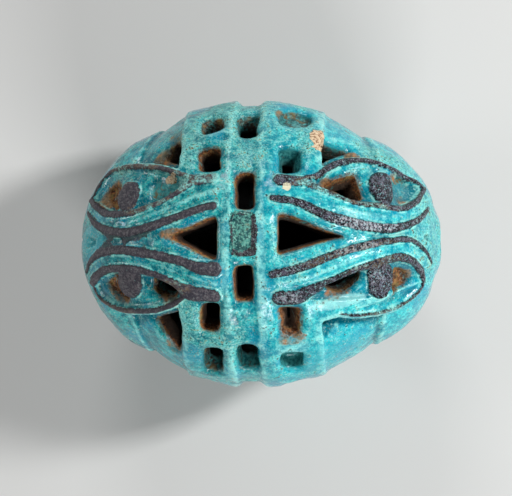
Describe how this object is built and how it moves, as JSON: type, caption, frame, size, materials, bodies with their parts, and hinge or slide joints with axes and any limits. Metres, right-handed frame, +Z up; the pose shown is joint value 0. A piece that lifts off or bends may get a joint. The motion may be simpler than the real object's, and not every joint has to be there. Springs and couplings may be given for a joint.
{
  "type": "wadjet eye bead",
  "caption": "Hollow openwork barrel bead of glazed faience with wadjet eyes round both ends, strung end to end on a cord.",
  "frame": {"origin": "centre of the bounding box's bottom, under the middle of the bead's length, on the plane of the small resting flat", "axes": "+X along the barrel's long axis, toward the longer end with the wider rib; +Z up, through the middle line of one pair of eyes; +Y across the barrel, image up in the picture"},
  "size_m": [0.0414, 0.0334, 0.0332],
  "materials": {
    "glazed_faience": "worn glossy turquoise glaze with black painted lines, brown deposits in the openings and bare tan chips"
  },
  "bodies": {
    "root": {"wadjet_eye_bead": "glazed_faience"}
  },
  "joints": []
}
